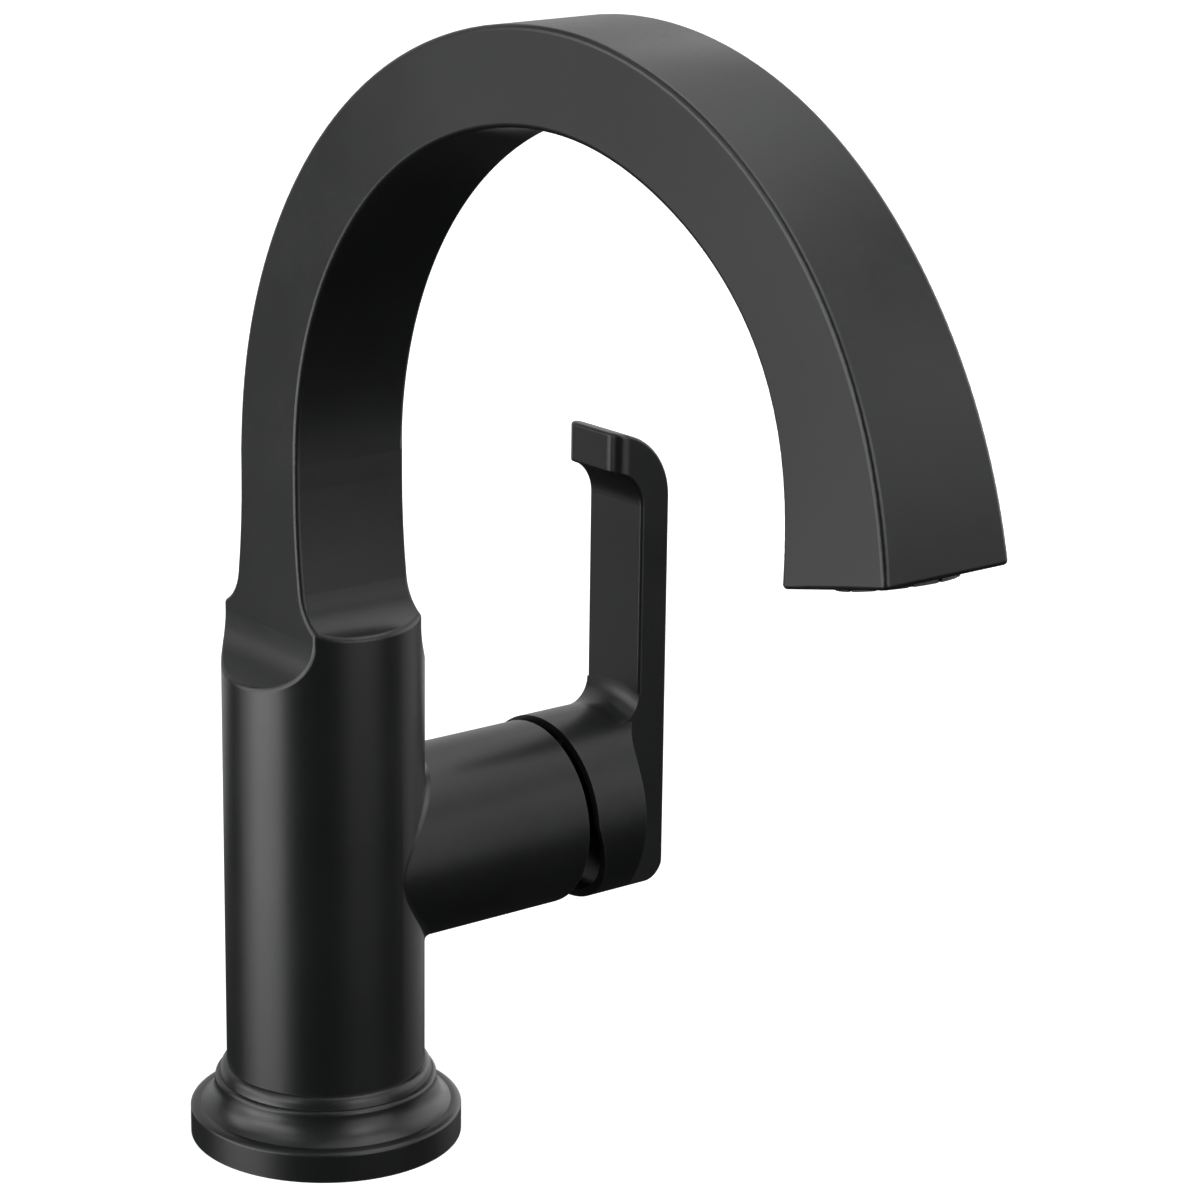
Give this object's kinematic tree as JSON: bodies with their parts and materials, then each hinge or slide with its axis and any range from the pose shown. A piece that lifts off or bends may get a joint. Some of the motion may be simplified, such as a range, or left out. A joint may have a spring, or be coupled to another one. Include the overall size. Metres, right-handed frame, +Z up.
{
  "type": "single-hole lavatory faucet",
  "caption": "Single-hole bathroom faucet with a tall square-section arched spout on a round body, a side hub with an upright pull lever, and threaded mounting below the deck.",
  "frame": {"origin": "on the round body's axis, at the top of the deck it stands on", "axes": "+Z up along the body's axis; the spout reaches towards -Y, the user's side; the valve hub and lever stand on the +X side"},
  "size_m": [0.1106, 0.2048, 0.2931],
  "materials": {
    "black_finish": "satin black",
    "bare_brass": "machined",
    "plain_steel": "plain",
    "screen_steel": "fine screen",
    "seal_rubber": "matte",
    "moulded_plastic": "moulded, off-white",
    "tube_plastic": "translucent, smooth",
    "black_plastic": "fine moulded",
    "grey_plastic": "moulded",
    "limit_plastic": "moulded, red",
    "nut_plastic": "moulded, glass filled",
    "valve_ceramic": "lapped"
  },
  "bodies": {
    "housing": {"spout_body": "black_finish", "base_ring": "black_finish", "base_gasket": "seal_rubber", "mounting_shank": "bare_brass", "deck_washer": "seal_rubber", "clamp_washer": "plain_steel", "mounting_nut": "nut_plastic", "valve_manifold": "moulded_plastic", "tube_seal": "seal_rubber", "spout_tube": "tube_plastic", "outlet_adapter": "moulded_plastic", "aerator_seal": "seal_rubber", "aerator_housing": "black_plastic", "aerator_insert": "grey_plastic", "aerator_screen": "screen_steel", "port_seals": "seal_rubber", "cartridge_base": "moulded_plastic", "disc_seals": "seal_rubber", "fixed_disc": "valve_ceramic", "cartridge_shell": "moulded_plastic", "limit_ring": "limit_plastic", "bonnet_nut": "bare_brass", "bonnet_dome": "black_finish"},
    "rotor": {"rotor": "moulded_plastic", "pivot_pin": "plain_steel"},
    "disc": {"moving_disc": "valve_ceramic", "disc_carrier": "moulded_plastic"},
    "handle": {"stem": "bare_brass", "lever_handle": "black_finish", "set_screw": "plain_steel", "set_screw_cap": "black_plastic"}
  },
  "joints": [
    {"name": "handle_turn", "type": "hinge", "parent": "housing", "child": "rotor", "pos_m": [0, 0, 0.05834], "axis": [1, 0, 0], "range_deg": [-45, 45]},
    {"name": "handle_tilt", "type": "hinge", "parent": "rotor", "child": "handle", "pos_m": [0.046, 0, 0.05834], "axis": [0, 1, 0], "range_deg": [0, 18]},
    {"name": "disc_slide", "type": "slide", "parent": "rotor", "child": "disc", "axis": [0, 0, 1], "range_m": [0, 0.0034]}
  ],
  "couplings": [
    {"joint": "disc_slide", "follows": "handle_tilt", "m_per_rad": 0.01082}
  ]
}
